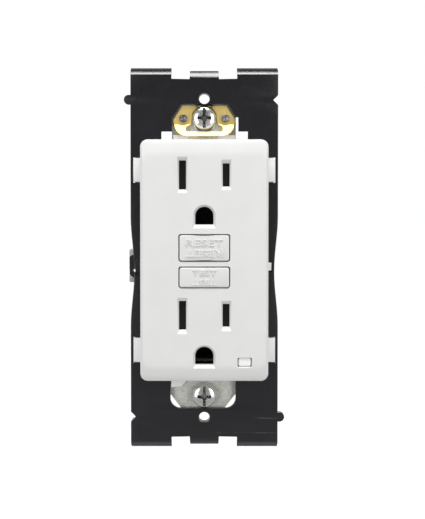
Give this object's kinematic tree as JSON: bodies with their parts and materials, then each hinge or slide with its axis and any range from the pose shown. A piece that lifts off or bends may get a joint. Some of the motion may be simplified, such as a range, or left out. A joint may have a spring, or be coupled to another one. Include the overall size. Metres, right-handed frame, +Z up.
{
  "type": "ground-fault receptacle outlet",
  "caption": "Duplex wall receptacle with reset and test buttons, shuttered slots, a metal strap with mounting screws and a black clip-on adapter plate for a screwless wall plate.",
  "frame": {"origin": "the device's centre on the wall plane, which is the back face of the metal strap", "axes": "+X to the right of someone facing the outlet, +Y into the wall, +Z up"},
  "size_m": [0.0488, 0.0405, 0.116],
  "materials": {
    "black_plastic": "low-sheen moulded",
    "white_plastic": "satin moulded",
    "shutter_grey": "matte moulded",
    "clear_plastic": "clear moulded",
    "zinc_steel": "zinc plated",
    "brass": "stamped sheet",
    "bronze": "stamped spring strip",
    "green_steel": "green dyed plating",
    "dark_insulator": "moulded",
    "board_green": "solder mask",
    "copper": "enamelled wire",
    "component_blue": "dipped",
    "grey_plastic": "moulded"
  },
  "bodies": {
    "device": {"adapter_plate": "black_plastic", "front_cover": "white_plastic", "front_face": "white_plastic", "status_lens": "clear_plastic", "solenoid_bobbin": "clear_plastic", "strap": "zinc_steel", "left_clip_rivet": "zinc_steel", "right_clip_rivet": "zinc_steel", "reset_spring": "zinc_steel", "upper_shutter_spring": "zinc_steel", "lower_shutter_spring": "zinc_steel", "upper_left_case_screw": "zinc_steel", "lower_left_case_screw": "zinc_steel", "upper_right_case_screw": "zinc_steel", "lower_right_case_screw": "zinc_steel", "load_neutral_plate": "zinc_steel", "line_neutral_plate": "zinc_steel", "ground_tab": "zinc_steel", "plunger_spring": "zinc_steel", "solenoid_frame": "zinc_steel", "ground_clip": "brass", "load_hot_plate": "brass", "line_hot_plate": "brass", "neutral_contacts": "bronze", "hot_contacts": "bronze", "upper_ground_contact": "bronze", "lower_ground_contact": "bronze", "contact_carrier": "dark_insulator", "sensor_cup": "dark_insulator", "circuit_board": "board_green", "solenoid_winding": "copper", "sensing_coil": "copper", "neutral_fault_coil": "copper", "surge_varistor": "component_blue", "filter_capacitor": "component_blue", "rear_case": "grey_plastic"},
    "reset_button": {"reset_button": "white_plastic", "reset_pin": "zinc_steel"},
    "test_button": {"test_button": "white_plastic"},
    "test_contact": {"test_contact": "bronze"},
    "upper_shutter": {"upper_shutter": "shutter_grey"},
    "lower_shutter": {"lower_shutter": "shutter_grey"},
    "upper_screw_retainer": {"upper_screw_retainer": "shutter_grey"},
    "upper_mounting_screw": {"upper_mounting_screw": "zinc_steel"},
    "lower_screw_retainer": {"lower_screw_retainer": "shutter_grey"},
    "lower_mounting_screw": {"lower_mounting_screw": "zinc_steel"},
    "contact_carriage": {"contact_carriage": "dark_insulator", "neutral_moving_contact": "copper", "hot_moving_contact": "copper"},
    "latch_plate": {"latch_plate": "zinc_steel"},
    "trip_plunger": {"trip_plunger": "zinc_steel"},
    "ground_screw": {"ground_screw": "green_steel"},
    "load_neutral_screw": {"load_neutral_screw": "zinc_steel"},
    "load_neutral_clamp": {"load_neutral_clamp": "zinc_steel"},
    "load_hot_screw": {"load_hot_screw": "brass"},
    "load_hot_clamp": {"load_hot_clamp": "brass"},
    "line_neutral_screw": {"line_neutral_screw": "zinc_steel"},
    "line_neutral_clamp": {"line_neutral_clamp": "zinc_steel"},
    "line_hot_screw": {"line_hot_screw": "brass"},
    "line_hot_clamp": {"line_hot_clamp": "brass"}
  },
  "joints": [
    {"name": "reset_press", "type": "slide", "parent": "device", "child": "reset_button", "axis": [0, 1, 0], "range_m": [0, 0.0015], "stiffness_N_per_m": 1500, "springref_m": -0.0006},
    {"name": "test_press", "type": "slide", "parent": "device", "child": "test_button", "axis": [0, 1, 0], "range_m": [0, 0.0012], "stiffness_N_per_m": 1200, "springref_m": -0.0006},
    {"name": "test_contact_bend", "type": "slide", "parent": "device", "child": "test_contact", "axis": [0, 1, 0], "range_m": [0, 0.0012]},
    {"name": "upper_shutter_slide", "type": "slide", "parent": "device", "child": "upper_shutter", "axis": [1, 0, 0], "range_m": [0, 0.003], "stiffness_N_per_m": 100, "springref_m": -0.001},
    {"name": "lower_shutter_slide", "type": "slide", "parent": "device", "child": "lower_shutter", "axis": [1, 0, 0], "range_m": [0, 0.003], "stiffness_N_per_m": 100, "springref_m": -0.001},
    {"name": "upper_screw_play", "type": "slide", "parent": "device", "child": "upper_screw_retainer", "axis": [0, -1, 0], "range_m": [0, 0.0025]},
    {"name": "upper_screw_turn", "type": "hinge", "parent": "upper_screw_retainer", "child": "upper_mounting_screw", "pos_m": [0, 0, 0.0424], "axis": [0, 1, 0], "continuous": true},
    {"name": "lower_screw_play", "type": "slide", "parent": "device", "child": "lower_screw_retainer", "axis": [0, -1, 0], "range_m": [0, 0.0025]},
    {"name": "lower_screw_turn", "type": "hinge", "parent": "lower_screw_retainer", "child": "lower_mounting_screw", "pos_m": [0, 0, -0.04167], "axis": [0, 1, 0], "continuous": true},
    {"name": "contact_carriage_slide", "type": "slide", "parent": "device", "child": "contact_carriage", "axis": [0, -1, 0], "range_m": [0, 0.001], "stiffness_N_per_m": 600, "springref_m": -0.001},
    {"name": "latch_slide", "type": "slide", "parent": "contact_carriage", "child": "latch_plate", "axis": [0, 0, 1], "range_m": [0, 0.0015]},
    {"name": "plunger_slide", "type": "slide", "parent": "device", "child": "trip_plunger", "axis": [0, 0, 1], "range_m": [0, 0.0015], "stiffness_N_per_m": 300, "springref_m": -0.002},
    {"name": "ground_screw_turn", "type": "hinge", "parent": "device", "child": "ground_screw", "pos_m": [-0.012, 0.008, -0.0386], "axis": [1, 0, 0], "continuous": true},
    {"name": "load_neutral_screw_turn", "type": "hinge", "parent": "device", "child": "load_neutral_screw", "pos_m": [-0.0205, 0.012, 0.017], "axis": [1, 0, 0], "range_deg": [0, 1080]},
    {"name": "load_neutral_clamp_draw", "type": "slide", "parent": "device", "child": "load_neutral_clamp", "axis": [-1, 0, 0], "range_m": [0, 0.00238]},
    {"name": "load_hot_screw_turn", "type": "hinge", "parent": "device", "child": "load_hot_screw", "pos_m": [0.0205, 0.012, 0.017], "axis": [-1, 0, 0], "range_deg": [0, 1080]},
    {"name": "load_hot_clamp_draw", "type": "slide", "parent": "device", "child": "load_hot_clamp", "axis": [1, 0, 0], "range_m": [0, 0.00238]},
    {"name": "line_neutral_screw_turn", "type": "hinge", "parent": "device", "child": "line_neutral_screw", "pos_m": [-0.0205, 0.012, -0.017], "axis": [1, 0, 0], "range_deg": [0, 1080]},
    {"name": "line_neutral_clamp_draw", "type": "slide", "parent": "device", "child": "line_neutral_clamp", "axis": [-1, 0, 0], "range_m": [0, 0.00238]},
    {"name": "line_hot_screw_turn", "type": "hinge", "parent": "device", "child": "line_hot_screw", "pos_m": [0.0205, 0.012, -0.017], "axis": [-1, 0, 0], "range_deg": [0, 1080]},
    {"name": "line_hot_clamp_draw", "type": "slide", "parent": "device", "child": "line_hot_clamp", "axis": [1, 0, 0], "range_m": [0, 0.00238]}
  ],
  "couplings": [
    {"joint": "test_contact_bend", "follows": "test_press", "ratio": 1},
    {"joint": "latch_slide", "follows": "plunger_slide", "ratio": 1},
    {"joint": "load_neutral_screw_turn", "follows": "load_neutral_clamp_draw", "rad_per_m": 7915.8},
    {"joint": "load_hot_screw_turn", "follows": "load_hot_clamp_draw", "rad_per_m": 7915.8},
    {"joint": "line_neutral_screw_turn", "follows": "line_neutral_clamp_draw", "rad_per_m": 7915.8},
    {"joint": "line_hot_screw_turn", "follows": "line_hot_clamp_draw", "rad_per_m": 7915.8}
  ]
}
